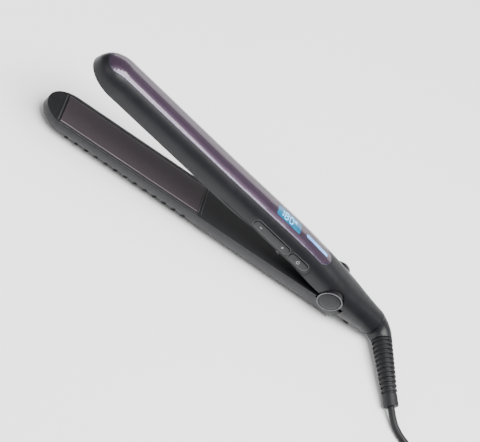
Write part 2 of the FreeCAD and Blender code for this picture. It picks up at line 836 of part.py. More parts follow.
def relief_point(distance):
    """Point and direction on the strain relief's centre line, which bends back a little."""
    start, direction = elbow_point(ELBOW_TURN)
    end_direction = Vector(*RELIEF_END_DIRECTION)
    end_direction.normalize()
    steps = 40
    point = start
    step_length = distance / steps
    for step in range(steps):
        share = (step + 0.5) * step_length / RELIEF_LENGTH
        here = direction * (1 - share) + end_direction * share
        here.normalize()
        point = point.add(here * step_length)
    share = distance / RELIEF_LENGTH
    here = direction * (1 - share) + end_direction * share
    here.normalize()
    return point, here


COLLAR_LENGTH = 9.0


def relief_radius(distance):
    """The ribs' outer radius along the strain relief."""
    ribbed = RELIEF_LENGTH - COLLAR_LENGTH
    return RELIEF_ROOT_RADIUS + (RELIEF_END_RADIUS - RELIEF_ROOT_RADIUS) * min(distance / ribbed, 1.0)


def strain_relief():
    """Tapered rubber sleeve with rings that let it bend."""
    ribbed = RELIEF_LENGTH - COLLAR_LENGTH
    wires = []
    for step in range(5):
        distance = ribbed * step / 4
        point, direction = relief_point(distance)
        wires.append(round_section(point, direction, relief_radius(distance) - 1.15))
    core = Part.makeLoft(wires, True, False)
    rings = []
    pitch = ribbed / RELIEF_RIBS
    for index in range(RELIEF_RIBS):
        distance = pitch * (index + 0.12)
        point, direction = relief_point(distance)
        radius = relief_radius(distance)
        ring = Part.makeCylinder(radius, pitch * 0.58, point, direction)
        rims = [edge for edge in ring.Edges if edge.BoundBox.DiagonalLength > radius and edge.Closed]
        rings.append(ring.makeFillet(0.4, rims))
    return fuse([core] + rings)


def relief_collar():
    """Plain end collar where the cord comes out."""
    point, direction = relief_point(RELIEF_LENGTH - COLLAR_LENGTH)
    collar = Part.makeCylinder(RELIEF_END_RADIUS - 0.2, COLLAR_LENGTH, point, direction)
    rims = [edge for edge in collar.Edges if edge.Closed]
    return collar.makeFillet(0.6, rims)


# ---- cord, coil and plug ---------------------------------------------------------------

EXIT_POINT, EXIT_DIRECTION = relief_point(RELIEF_LENGTH)


def bent_path(points):
    """Straight runs joined by tangent arcs as large as the runs allow; also the radii."""
    edges = []
    radii = []
    here = points[0]
    for index in range(1, len(points) - 1):
        before = points[index].sub(points[index - 1])
        after = points[index + 1].sub(points[index])
        turn = before.getAngle(after)
        tangent = 0.45 * min(before.Length, after.Length)
        radii.append(tangent / math.tan(turn / 2))
        before.normalize()
        after.normalize()
        start = points[index].sub(before * tangent)
        end = points[index].add(after * tangent)
        bisector = after.sub(before)
        bisector.normalize()
        middle = points[index].add(bisector * reach_to_arc(tangent, turn))
        edges.append(Part.LineSegment(here, start).toShape())
        edges.append(Part.Arc(start, middle, end).toShape())
        here = end
    edges.append(Part.LineSegment(here, points[-1]).toShape())
    return Part.Wire(edges), radii


def reach_to_arc(tangent, turn):
    """Distance from a corner to the arc that rounds it."""
    radius = tangent / math.tan(turn / 2)
    return radius / math.cos(turn / 2) - radius


def cord_tube(name, points):
    """A round tube along a route; prints its radii and compares its volume."""
    route = [Vector(*point) for point in points]
    path, radii = bent_path(route)
    first = route[1].sub(route[0])
    profile = Part.Wire(Part.makeCircle(CORD_RADIUS, route[0], first))
    tube = path.makePipeShell([profile], True, False)
    expected = math.pi * CORD_RADIUS ** 2 * path.Length
    print(name, "radii", [round(radius, 1) for radius in radii], "length", round(path.Length, 1),
          "volume ratio", round(tube.Volume / expected, 4))
    return tube, path.Length


LEAD_ROUTE = [
    tuple(EXIT_POINT),
    (79.6, -60.0, 4.2),
    (87.0, -65.6, 2.9),
    (95.0, -69.4, 2.6),
    (103.5, -73.0, 2.7),
    (112.4, -77.3, 2.8),
    (121.8, -82.3, 3.0),
    (129.6, -89.3, 3.1),
    (134.0, -100.0, 3.2),
    (133.1, -118.9, 3.3),
]
TAIL_ROUTE = [
    (126.4, -94.2, 13.3),
    (131.1, -103.4, 15.6),
    (132.1, -112.8, 18.4),
    (129.2, -121.7, 21.0),
    (122.9, -128.6, 22.4),
    (114.4, -132.4, 22.65),
    (104.5, -132.4, 22.65),
]
# The plug lies flat on top of the coil.
PLUG_Y = -132.4
PLUG_HEIGHT = 22.65
PLUG_THICKNESS = 13.5
PLUG_REAR_X = 104.5


def cord_coil():
    """The put-away length: one ring with the outer shape of the wound turns."""
    inner = COIL_MID_RADIUS - COIL_HALF_BREADTH
    outer = COIL_MID_RADIUS + COIL_HALF_BREADTH
    centre = Vector(COIL_CENTRE[0], COIL_CENTRE[1], COIL_BASE)
    ring = Part.makeCylinder(outer, COIL_HEIGHT, centre).cut(Part.makeCylinder(inner, COIL_HEIGHT, centre))
    return ring.makeFillet(2.4, [edge for edge in ring.Edges if edge.Closed])


def coil_tie():
    """Strap that holds the coil's turns together."""
    radial = COIL_MID_RADIUS
    half = COIL_HALF_BREADTH + 0.3
    strap_top = COIL_BASE + COIL_HEIGHT + 0.75
    outer = box((radial - half - 0.7, radial + half + 0.7), (-2.5, 2.5), (0.05, strap_top))
    inner = box((radial - half, radial + half), (-3, 3), (COIL_BASE - 0.05, COIL_BASE + COIL_HEIGHT + 0.05))
    strap = outer.cut(inner)
    strap.rotate(ORIGIN, Z_AXIS, TIE_ANGLE)
    strap.translate(Vector(COIL_CENTRE[0], COIL_CENTRE[1], 0))
    return strap


PLUG_PIN_RADIUS = 2.0
PLUG_PIN_LENGTH = 19.0
PLUG_PIN_SPACING = 18.6
PLUG_FACE_X = PLUG_REAR_X - 36.0


def plug_body():
    """Flat two-pin mains plug, waisted for the fingers."""
    outline = [
        (PLUG_FACE_X, -17.2),
        (PLUG_FACE_X + 6.0, -17.6),
        (PLUG_FACE_X + 17.0, -12.4),
        (PLUG_FACE_X + 27.0, -7.4),
        (PLUG_REAR_X, -5.0),
    ]
    corners = [Vector(x, PLUG_Y + y, 0) for x, y in outline]
    corners += [Vector(x, PLUG_Y - y, 0) for x, y in reversed(outline)]
    prism = Part.Face(Part.makePolygon(corners + corners[:1])).extrude(Vector(0, 0, PLUG_THICKNESS))
    upright = [edge for edge in prism.Edges if edge.BoundBox.ZLength > 5]
    prism = prism.makeFillet(1.2, upright)
    flat = [edge for edge in prism.Edges if edge.BoundBox.ZLength < 0.01]
    prism = prism.makeFillet(1.0, flat)
    prism.translate(Vector(0, 0, PLUG_HEIGHT - PLUG_THICKNESS / 2))
    return prism


def plug_pins():
    """Two round plug pins."""
    pins = []
    for side in SIDES:
        y = PLUG_Y + side * PLUG_PIN_SPACING / 2
        tip_x = PLUG_FACE_X - PLUG_PIN_LENGTH
        pins.append(rod(PLUG_PIN_RADIUS, (tip_x, y, PLUG_HEIGHT), (PLUG_FACE_X, y, PLUG_HEIGHT)))
    return group(pins)


# ---- lower arm -------------------------------------------------------------------------

lower_outer = lower_form()
lower_inner = lower_form(SHELL_WALL)
lower_nose = nose_form(LOWER_DEPTHS[0][1])
RIB_COUNT = 13
RIB_FIRST_X = -211.0
RIB_PITCH = 7.9
RIB_START_OUT = 9.5


def lower_shell():
    """Outer casing of the lower arm with the two hinge ears."""
    ears = []
    for side in SIDES:
        inner_end = (0, side * EAR_INNER_Y, -HINGE_OUT)
        ears.append(rod(EAR_RADIUS, inner_end, (0, side * ARM_HALF_WIDTH, -HINGE_OUT)))
        inner, outer = sorted((side * EAR_INNER_Y, side * 13.6))
        web = box((-EAR_RADIUS, EAR_RADIUS), (inner, outer), (-HINGE_OUT, 9.0)).common(lower_outer)
        ears.append(web)
    hollow = cut(lower_inner, beyond(low_x=LOWER_END_X - 1.5), *ears)
    mouth = beyond(TIP_SEAM_X - 5, TIP_SEAM_X + 0.01, 0, 9)
    shell = cut(lower_outer, hollow, beyond(high_out=SHELL_EDGE_OUT), mouth)
    lug_room = rod(LUG_RADIUS + 0.5, (0, -10.5, -HINGE_OUT), (0, 10.5, -HINGE_OUT))
    shell = shell.cut(lug_room)
    for x in LOWER_SCREW_X:
        shell = shell.fuse(screw_post(x, 0, SHELL_EDGE_OUT + 1.7, lower_outer))
    shell = fuse([shell] + ears)
    bore = rod(PIN_RADIUS + RUNNING_GAP, (0, -20, -HINGE_OUT), (0, 20, -HINGE_OUT))
    rear_notch = box((LOWER_END_X - 2, LOWER_END_X + 1), (-2.5, 2.5), (4.9, 7.1))
    return one_solid(cut(shell, bore, rear_notch))


def rib(index):
    """One raised rib round the belly of the lower arm."""
    x = RIB_FIRST_X + RIB_PITCH * index
    slab = beyond(x - 0.75, x + 0.75, RIB_START_OUT)
    swollen = lower_form(-RIB_PROUD).common(slab)
    return one_solid(swollen.cut(lower_outer))


def lower_ribs():
    """Raised ribs that keep the hot end off the table and give a cool grip."""
    return group([rib(index) for index in range(RIB_COUNT)])


def lower_inner_cover():
    """Smooth closing panel of the lower handle's inner side."""
    front = PLATE_REAR_X + FRAME_BORDER + 0.15
    panel = lower_outer.common(beyond(front, LOWER_END_X - 2.2, RIM_OUT, SHELL_EDGE_OUT + 1.4))
    lip = box((front - 1, 20), (-20, 20), (SHELL_EDGE_OUT - 0.05, 9)).cut(lower_form(SHELL_WALL + 0.25))
    ears = ear_room(EAR_RADIUS + 0.3, EAR_INNER_Y - 0.2, -HINGE_OUT)
    lug_room = rod(LUG_RADIUS + 0.8, (0, -11, -HINGE_OUT), (0, 11, -HINGE_OUT))
    panel = cut(panel, lip, lug_room, beyond(low_x=-9.6), *ears)
    for x in LOWER_SCREW_X:
        panel = panel.cut(screw_hole(x, 0, 2.5))
    return one_solid(panel)


def lower_screws():
    """Screws that hold the lower inner cover."""
    return group([pan_screw(x, 0, SCREW_HEAD_OUT) for x in LOWER_SCREW_X])


def hinge_caps():
    """Domed caps over the two ends of the hinge pin."""
    caps = []
    for side in SIDES:
        outline = [(0, 14.75), (8.1, 14.75), (8.1, 15.0), (7.2, 15.6), (5.0, 16.05), (2.5, 16.25), (0, 16.3)]
        corners = [Vector(radius, y, 0) for radius, y in outline]
        face = Part.Face(Part.makePolygon(corners + corners[:1]))
        cap = face.revolve(ORIGIN, Y_AXIS, 360)
        if side < 0:
            cap = cap.mirror(ORIGIN, Y_AXIS)
        cap.translate(Vector(0, 0, -HINGE_OUT))
        caps.append(cap)
    return caps


def cap_ring(side):
    """Bright ring round a hinge cap."""
    return tube_ring(9.0, 8.15, (0, side * 14.72, -HINGE_OUT), (0, side * 15.35, -HINGE_OUT))


def lock_catch():
    """Small steel lip in the lower arm's rear end, where the lock reaches."""
    return box((LOWER_END_X - 3.0, LOWER_END_X - 1.55), (-4.0, 4.0), (7.2, 10.5))


# ---- build -----------------------------------------------------------------------------

add("upper_shell", upper_shell(), upper_place)
add("upper_tip_cap", upper_tip_cap(), upper_place)
add("top_inlay", top_inlay(), upper_place)
add("inlay_trim", inlay_trim(), upper_place)
add("display_window", window(lcd_prism), upper_place)
add("indicator_window", window(light_prism), upper_place)
add("button_bezel", button_bezel(), upper_place)
add("temperature_rocker", temperature_rocker(), upper_place)
add("power_button", power_button(), upper_place)
add("button_board", button_board(), upper_place)
add("tact_switches", tact_switches(), upper_place)
add("control_board", control_board(), upper_place)
add("board_parts", board_parts(), upper_place)
add("lcd_module", lcd_module(), upper_place)
add("indicator_lights", light_guide(), upper_place)
add("upper_plate_frame", plate_tray(upper_outer), upper_place)
add("upper_inner_cover", upper_inner_cover(), upper_place)
add("upper_screws", upper_screws(), upper_place)
add("rear_lower_cover", rear_lower_cover(), upper_place)
add("hinge_bracket", hinge_bracket(), upper_place)
add("hinge_pin", hinge_pin(), upper_place)
add("hinge_spring", hinge_spring(), upper_place)
add("swivel_bearing", swivel_bearing(), upper_place)
add("contact_fingers", contact_fingers(), upper_place)
add("contact_block", contact_block(), upper_place)
add("upper_heater_leads", heater_leads(-98.0), upper_place)
add("lock_slider", lock_slider(), upper_place)

add("lower_shell", lower_shell(), lower_place)
add("lower_tip_cap", one_solid(tip_cap(lower_nose, LOWER_TONGUE_OUT)), lower_place)
add("lower_ribs", lower_ribs(), lower_place)
add("lower_plate_frame", plate_tray(lower_outer), lower_place)
add("lower_inner_cover", lower_inner_cover(), lower_place)
add("lower_screws", lower_screws(), lower_place)
add("lower_heater_leads", heater_leads(-30.0), lower_place)
add("lock_catch", lock_catch(), lower_place)
caps = hinge_caps()
add("hinge_cap_near", caps[0], lower_place)
add("hinge_cap_far", caps[1], lower_place)
add("hinge_cap_rings", group([cap_ring(side) for side in SIDES]), lower_place)

for arm, place in (("upper", upper_place), ("lower", lower_place)):
    add(arm + "_plate", heated_plate(), place)
    add(arm + "_heater", heater_bar(), place)
    add(arm + "_heater_clips", heater_clips(), place)
    add(arm + "_plate_springs", plate_springs(), place)
    add(arm + "_thermal_fuse", thermal_fuse(), place)

add("swivel_elbow", swivel_elbow(), stay)
add("swivel_clip", swivel_clip(), stay)
add("slip_rings", slip_rings(), stay)
add("strain_relief", strain_relief(), stay)
add("relief_collar", relief_collar(), stay)
lead_tube, lead_length = cord_tube("cord_lead", LEAD_ROUTE)
tail_tube, tail_length = cord_tube("cord_tail", TAIL_ROUTE)
add("cord_lead", lead_tube, stay)
add("cord_tail", tail_tube, stay)
add("cord_coil", cord_coil(), stay)
add("coil_tie", coil_tie(), stay)
add("plug_body", plug_body(), stay)
add("plug_pins", plug_pins(), stay)

# The belly is planed flat where the lower arm lies on the table.
floor = box((-300, 300), (-300, 300), (-50, 0))
for name in ("lower_shell", "lower_tip_cap", "lower_ribs"):
    nodes[name] = nodes[name].cut(floor)

# The origin is the bottom centre of the iron without its cord.
on_cord = (
    "strain_relief", "relief_collar", "cord_lead", "cord_tail",
    "cord_coil", "coil_tie", "plug_body", "plug_pins",
)
iron = group([shape for name, shape in nodes.items() if name not in on_cord])
extent = iron.optimalBoundingBox(False)
shift = Vector(-(extent.XMin + extent.XMax) / 2, 0, 0)
print("extent", extent, "shift", shift)
print("exit", EXIT_POINT.add(shift), "direction", EXIT_DIRECTION)
print("swivel", SWIVEL_CENTRE.add(shift), "axis", SWIVEL_AXIS)
print("coiled length", CORD_LENGTH - lead_length - tail_length)

os.makedirs("parts", exist_ok=True)
for name, shape in nodes.items():
    shape.translate(shift)
    shape.exportStep("parts/" + name + ".step")
    solids = shape.Solids
    print(name, "solids", len(solids), "valid", shape.isValid(), "volume", round(shape.Volume, 1))
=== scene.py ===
"""Looks of the flat iron: materials, the free cord, the display's digits and the studio."""
import json
import math

import bmesh
import bpy
from mathutils import Matrix, Vector
from mathutils.bvhtree import BVHTree


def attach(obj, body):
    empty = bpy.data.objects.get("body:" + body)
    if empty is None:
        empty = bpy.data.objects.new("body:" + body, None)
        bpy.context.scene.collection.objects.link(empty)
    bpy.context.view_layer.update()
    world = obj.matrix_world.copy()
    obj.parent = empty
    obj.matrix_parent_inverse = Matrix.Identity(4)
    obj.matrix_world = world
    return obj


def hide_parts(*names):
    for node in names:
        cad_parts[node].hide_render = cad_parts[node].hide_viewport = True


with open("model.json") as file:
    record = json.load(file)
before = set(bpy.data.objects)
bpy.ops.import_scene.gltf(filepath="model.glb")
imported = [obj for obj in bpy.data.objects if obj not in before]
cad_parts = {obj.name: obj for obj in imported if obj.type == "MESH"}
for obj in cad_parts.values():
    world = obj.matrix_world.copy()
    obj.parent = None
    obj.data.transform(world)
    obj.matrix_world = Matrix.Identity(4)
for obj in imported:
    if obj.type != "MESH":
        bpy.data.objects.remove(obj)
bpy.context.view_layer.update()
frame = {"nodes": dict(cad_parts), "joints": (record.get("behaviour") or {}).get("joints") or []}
MM = 0.001

joints = {joint["name"]: joint for joint in frame["joints"]}
HINGE = Vector(joints["arm_hinge"]["pos_m"])
UPPER_OUT = Vector(joints["upper_plate_float"]["axis"]).normalized()
UPPER_ALONG = Vector((UPPER_OUT.z, 0.0, -UPPER_OUT.x))
LOWER_OUT = Vector(joints["lower_plate_float"]["axis"]).normalized()
LOWER_ALONG = Vector((-LOWER_OUT.z, 0.0, LOWER_OUT.x))
# The hinge axis lies this far out from the upper arm's plate plane.
HINGE_OUT = 1.75 * MM


def from_hinge(x, y, z):
    """A point given in millimetres from the spot on the table below the hinge axis."""
    return Vector((HINGE.x + x * MM, y * MM, z * MM))


def on_upper(x, y, out):
    """A point in millimetres along, across and out from the upper arm's plate plane."""
    height = UPPER_OUT * (out * MM - HINGE_OUT)
    return HINGE + UPPER_ALONG * (x * MM) + Vector((0, y * MM, 0)) + height


def on_lower(x, y, out):
    """The same for the lower arm, whose out is downward."""
    height = LOWER_OUT * (out * MM + HINGE_OUT)
    return HINGE + LOWER_ALONG * (x * MM) + Vector((0, y * MM, 0)) + height


# ---- camera ------------------------------------------------------------------------

CAMERA_PLACE = from_hinge(-457.45, -793.55, 797.21)
CAMERA_RIGHT = Vector((0.77968, 0.20902, 0.59026))
CAMERA_UP = Vector((-0.53800, 0.70593, 0.46067))
CAMERA_LENS = 131.7
SENSOR_WIDTH = 36.0


def make_camera():
    """A long lens above the tips on the button side, rolled so the iron runs down to the right."""
    data = bpy.data.cameras.new("camera")
    data.lens = CAMERA_LENS
    data.sensor_width = SENSOR_WIDTH
    data.sensor_fit = "HORIZONTAL"
    camera = bpy.data.objects.new("camera", data)
    back = CAMERA_RIGHT.cross(CAMERA_UP).normalized()
    up = back.cross(CAMERA_RIGHT).normalized()
    turn = Matrix((CAMERA_RIGHT, up, back)).transposed().to_4x4()
    camera.matrix_world = Matrix.Translation(CAMERA_PLACE) @ turn
    bpy.context.scene.collection.objects.link(camera)
    bpy.context.scene.camera = camera


make_camera()

# ---- materials -----------------------------------------------------------------------

# Nearly all of a noise texture's values lie between these.
NOISE_LOW = 0.3
NOISE_HIGH = 0.7
BEVEL_SAMPLES = 4
# Radii, in metres, to which the shaders soften sharp edges.
PLASTIC_EDGE = 0.0003
METAL_EDGE = 0.0002
KEY_EDGE = 0.0005
PLASTIC_RELIEF_STRENGTH = 0.35
METAL_RELIEF_DEPTH = 0.00002
METAL_RELIEF_STRENGTH = 0.3
GLOSS_ROUGHNESS = 0.1


def new_material(name):
    """An empty node material and its main shader."""
    material = bpy.data.materials.new(name)
    material.use_nodes = True
    return material, material.node_tree, material.node_tree.nodes["Principled BSDF"]


def noise(tree, scale, detail=3.0, stretch=(1, 1, 1)):
    """Noise in object space; the scale is in cycles per metre."""
    place = tree.nodes.new("ShaderNodeTexCoord")
    mapping = tree.nodes.new("ShaderNodeMapping")
    mapping.inputs["Scale"].default_value = stretch
    texture = tree.nodes.new("ShaderNodeTexNoise")
    texture.inputs["Scale"].default_value = scale
    texture.inputs["Detail"].default_value = detail
    tree.links.new(place.outputs["Object"], mapping.inputs["Vector"])
    tree.links.new(mapping.outputs["Vector"], texture.inputs["Vector"])
    return texture.outputs["Fac"]


def spread(tree, source, low, high):
    """A noise value moved to a range."""
    ranged = tree.nodes.new("ShaderNodeMapRange")
    ranged.inputs["From Min"].default_value = NOISE_LOW
    ranged.inputs["From Max"].default_value = NOISE_HIGH
    ranged.inputs["To Min"].default_value = low
    ranged.inputs["To Max"].default_value = high
    tree.links.new(source, ranged.inputs["Value"])
    return ranged.outputs["Result"]


def tint(tree, source, dark, light):
    """A colour between two, picked by a noise value."""
    ramp = tree.nodes.new("ShaderNodeValToRGB")
    ramp.color_ramp.elements[0].position = NOISE_LOW
    ramp.color_ramp.elements[1].position = NOISE_HIGH
    ramp.color_ramp.elements[0].color = (*dark, 1)
    ramp.color_ramp.elements[1].color = (*light, 1)
    tree.links.new(source, ramp.inputs["Fac"])
    return ramp.outputs["Color"]


def relief(tree, shader, height, distance, strength, edge=0.0):
    """Fine surface relief, over softened edges."""
    bump = tree.nodes.new("ShaderNodeBump")
    bump.inputs["Distance"].default_value = distance
    bump.inputs["Strength"].default_value = strength
    tree.links.new(height, bump.inputs["Height"])
    if edge:
        bevel = tree.nodes.new("ShaderNodeBevel")
        bevel.samples = BEVEL_SAMPLES
        bevel.inputs["Radius"].default_value = edge
        tree.links.new(bevel.outputs["Normal"], bump.inputs["Normal"])
    tree.links.new(bump.outputs["Normal"], shader.inputs["Normal"])


def plastic(name, dark, light, roughness, grain, depth, edge=PLASTIC_EDGE, specular=0.5):
    """Moulded plastic: fine grain, small changes of gloss and colour."""
    material, tree, shader = new_material(name)
    tree.links.new(tint(tree, noise(tree, 60), dark, light), shader.inputs["Base Color"])
    tree.links.new(spread(tree, noise(tree, 240, 5), *roughness), shader.inputs["Roughness"])
    shader.inputs["Specular IOR Level"].default_value = specular
    relief(tree, shader, noise(tree, grain, 2), depth, PLASTIC_RELIEF_STRENGTH, edge)
    return material


def metal(name, dark, light, roughness, stretch=(1, 1, 1)):
    """Bare or plated metal with fine drawn marks."""
    material, tree, shader = new_material(name)
    colour = tint(tree, noise(tree, 500, 4, stretch), dark, light)
    tree.links.new(colour, shader.inputs["Base Color"])
    gloss = spread(tree, noise(tree, 900, 4, stretch), *roughness)
    tree.links.new(gloss, shader.inputs["Roughness"])
    shader.inputs["Metallic"].default_value = 1.0
    marks = noise(tree, 1500, 2, stretch)
    relief(tree, shader, marks, METAL_RELIEF_DEPTH, METAL_RELIEF_STRENGTH, METAL_EDGE)
    return material


def lacquer():
    """Dark purple pearl under clear lacquer."""
    material, tree, shader = new_material("aubergine_pearl")
    flakes = noise(tree, 4200, 2)
    colour = tint(tree, flakes, (0.020, 0.008, 0.022), (0.050, 0.024, 0.054))
    tree.links.new(colour, shader.inputs["Base Color"])
    tree.links.new(spread(tree, noise(tree, 90, 3), 0.30, 0.36), shader.inputs["Roughness"])
    shader.inputs["Metallic"].default_value = 0.55
    shader.inputs["Coat Weight"].default_value = 1.0
    shader.inputs["Coat Roughness"].default_value = 0.04
    relief(tree, shader, flakes, 0.00001, 0.15, METAL_EDGE)
    return material


def ceramic():
    """Matt ceramic coat of the heated plates, with a faint sparkle."""
    material, tree, shader = new_material("ceramic_coat")
    colour = tint(tree, noise(tree, 1800, 5), (0.034, 0.025, 0.031), (0.052, 0.039, 0.047))
    tree.links.new(colour, shader.inputs["Base Color"])
    gloss = spread(tree, noise(tree, 400, 5, (0.2, 1, 1)), 0.34, 0.46)
    tree.links.new(gloss, shader.inputs["Roughness"])
    shader.inputs["Metallic"].default_value = 0.25
    relief(tree, shader, noise(tree, 2600, 3), 0.00002, 0.3, PLASTIC_EDGE)
    return material


def glowing(name, dark, light, strength):
    """A lit, slightly uneven coloured surface behind a gloss front."""
    material, tree, shader = new_material(name)
    colour = tint(tree, noise(tree, 130, 2), dark, light)
    tree.links.new(colour, shader.inputs["Base Color"])
    tree.links.new(colour, shader.inputs["Emission Color"])
    shader.inputs["Emission Strength"].default_value = strength
    shader.inputs["Roughness"].default_value = GLOSS_ROUGHNESS
    shader.inputs["Coat Weight"].default_value = 0.6
    return material


def circuit():
    """Green solder mask with faint traces."""
    material, tree, shader = new_material("circuit_board")
    waves = tree.nodes.new("ShaderNodeTexWave")
    waves.inputs["Scale"].default_value = 380
    waves.inputs["Distortion"].default_value = 6
    place = tree.nodes.new("ShaderNodeTexCoord")
    tree.links.new(place.outputs["Object"], waves.inputs["Vector"])
    colour = tint(tree, waves.outputs["Fac"], (0.01, 0.09, 0.03), (0.03, 0.17, 0.07))
    tree.links.new(colour, shader.inputs["Base Color"])
    shader.inputs["Roughness"].default_value = 0.35
    return material


# For plastic: name, darkest and lightest colour, roughness range, grain per metre, grain depth.
# For metal: name, two colours, roughness range, and for drawn metal how the marks stretch.
MATERIALS = {
    "shell": plastic(
        "black_shell", (0.0040, 0.0040, 0.0056), (0.0064, 0.0064, 0.0088), (0.38, 0.44), 1800,
        0.000004, specular=0.30,
    ),
    "satin": plastic(
        "black_satin", (0.0045, 0.0045, 0.0060), (0.0080, 0.0080, 0.0100), (0.46, 0.55), 3000,
        0.000008, specular=0.34,
    ),
    "key": plastic(
        "black_key", (0.0040, 0.0040, 0.0052), (0.0070, 0.0070, 0.0088), (0.30, 0.38), 2600,
        0.000005, edge=KEY_EDGE, specular=0.45,
    ),
    "rubber": plastic(
        "cord_rubber", (0.0045, 0.0045, 0.0055), (0.0085, 0.0085, 0.0100), (0.48, 0.60), 2200,
        0.00001, specular=0.28,
    ),
    "lacquer": lacquer(),
    "ceramic": ceramic(),
    "bead": metal("dark_bead", (0.075, 0.065, 0.095), (0.120, 0.105, 0.145), (0.26, 0.34)),
    "ring": metal("dark_ring", (0.090, 0.090, 0.096), (0.140, 0.140, 0.150), (0.26, 0.36)),
    "steel": metal("spring_steel", (0.42, 0.42, 0.43), (0.60, 0.60, 0.61), (0.22, 0.36)),
    "foil": metal("heater_film", (0.55, 0.33, 0.10), (0.72, 0.47, 0.17), (0.22, 0.4)),
    "brass": metal("brass", (0.60, 0.42, 0.16), (0.78, 0.58, 0.26), (0.2, 0.32)),
    "nickel": metal(
        "nickel_plate", (0.60, 0.58, 0.54), (0.74, 0.72, 0.68), (0.12, 0.22), (0.1, 1, 1)
    ),
    "white": plastic(
        "natural_plastic", (0.62, 0.60, 0.54), (0.72, 0.70, 0.64), (0.35, 0.5), 1500, 0.00002
    ),
    "red": plastic(
        "lead_sleeve", (0.36, 0.03, 0.02), (0.48, 0.06, 0.04), (0.4, 0.55), 1500, 0.00002
    ),
    "board": circuit(),
    "part": plastic(
        "component", (0.02, 0.02, 0.022), (0.05, 0.05, 0.055), (0.4, 0.6), 1800, 0.00002
    ),
    "display": glowing("display_glow", (0.000, 0.060, 0.140), (0.002, 0.130, 0.250), 0.55),
    "light": glowing("light_bar", (0.050, 0.200, 0.600), (0.110, 0.330, 0.780), 0.60),
    "digit": glowing("digit_glow", (0.16, 0.50, 0.88), (0.28, 0.66, 0.98), 0.75),
    # A lighter plastic for thin strips that stand in for highlights on edges: painted highlights.
    "line": plastic(
        "painted_edge_highlight", (0.060, 0.060, 0.070), (0.090, 0.090, 0.102), (0.34, 0.42), 1800, 0.000004
    ),
    "mark": plastic(
        "printed_mark", (0.30, 0.30, 0.32), (0.38, 0.38, 0.40), (0.4, 0.5), 1800, 0.00001
    ),
}

FINISH = {
    "shell": (
        "upper_shell", "upper_tip_cap", "rear_lower_cover", "lower_shell", "lower_tip_cap",
        "hinge_cap_near", "hinge_cap_far", "swivel_elbow",
    ),
    "satin": (
        "button_bezel", "upper_plate_frame", "upper_inner_cover", "lower_plate_frame",
        "lower_inner_cover", "lower_ribs", "lock_slider", "coil_tie",
    ),
    "key": ("temperature_rocker", "power_button"),
    "rubber": ("strain_relief", "relief_collar", "plug_body"),
    "lacquer": ("top_inlay",),
    "ceramic": ("upper_plate", "lower_plate"),
    "bead": ("inlay_trim",),
    "ring": ("hinge_cap_rings",),
    "steel": (
        "upper_screws", "lower_screws", "hinge_bracket", "hinge_pin", "hinge_spring", "lock_catch",
        "swivel_clip", "upper_plate_springs", "lower_plate_springs", "upper_heater_clips",
        "lower_heater_clips",
    ),
    "foil": ("upper_heater", "lower_heater"),
    "brass": ("contact_fingers", "slip_rings"),
    "nickel": ("plug_pins",),
    "white": ("swivel_bearing", "upper_thermal_fuse", "lower_thermal_fuse"),
    "red": ("upper_heater_leads", "lower_heater_leads"),
    "board": ("button_board", "control_board"),
    "part": ("tact_switches", "board_parts", "contact_block"),
    "display": ("display_window", "lcd_module"),
    "light": ("indicator_window", "indicator_lights"),
}


def finish_nodes():
    """Give every CAD node that shows its material."""
    for finish, names in FINISH.items():
        for name in names:
            node = frame["nodes"][name]
            for place in node.material_slots:
                place.material = MATERIALS[finish]
            if not node.material_slots:
                node.data.materials.append(MATERIALS[finish])


finish_nodes()


# ---- the free cord --------------------------------------------------------------------

CORD_DIAMETER = 0.005
LEAD_ROUTE = (
    (74.656, -51.457, 6.019),
    (79.6, -60.0, 4.2),
    (87.0, -65.6, 2.9),
    (95.0, -69.4, 2.6),
    (103.5, -73.0, 2.7),
    (112.4, -77.3, 2.8),
    (121.8, -82.3, 3.0),
    (129.6, -89.3, 3.1),
    (134.0, -100.0, 3.2),
)
TAIL_ROUTE = (
    (126.4, -94.2, 13.3),
    (131.1, -103.4, 15.6),
    (132.1, -112.8, 18.4),
    (129.2, -121.7, 21.0),
    (122.9, -128.6, 22.4),
    (114.4, -132.4, 22.65),
    (104.5, -132.4, 22.65),
)
COIL_CENTRE = (100.0, -116.0)
COIL_RADII = (23.2, 28.2, 33.2)
COIL_HEIGHTS = (3.3, 8.3, 13.3)
COIL_START = -5.0
POINTS_PER_TURN = 24
POINTS_LEFT_TO_TAIL = 3
# Each turn's column and layer: across the bottom, up the inside, and back out on top.
TURN_PLACES = ((2, 0), (1, 0), (0, 0), (0, 1), (0, 2), (1, 2), (1, 1), (2, 1), (2, 2))
CROSSING_SHARE = 0.16


def turn_size(index):
    """Radius and height of one turn of the coil."""
    column, layer = TURN_PLACES[min(index, len(TURN_PLACES) - 1)]
    return COIL_RADII[column], COIL_HEIGHTS[layer]


def coil_points():
    """Clockwise turns; near its end each turn steps over to the next one's place."""
    points = []
    fullness = 1 / math.cos(math.pi / POINTS_PER_TURN)
    for count in range(len(TURN_PLACES) * POINTS_PER_TURN - POINTS_LEFT_TO_TAIL):
        turn, step = divmod(count, POINTS_PER_TURN)
        share = step / POINTS_PER_TURN
        over = max(0.0, (share - 1 + CROSSING_SHARE) / CROSSING_SHARE)
        over = over * over * (3 - 2 * over)
        radius, height = turn_size(turn)
        next_radius, next_height = turn_size(turn + 1)
        radius = (radius + (next_radius - radius) * over) * fullness
        height += (next_height - height) * over
        angle = math.radians(COIL_START - 360 * share)
        x = COIL_CENTRE[0] + radius * math.cos(angle)
        y = COIL_CENTRE[1] + radius * math.sin(angle)
        points.append((x, y, height))
    return points


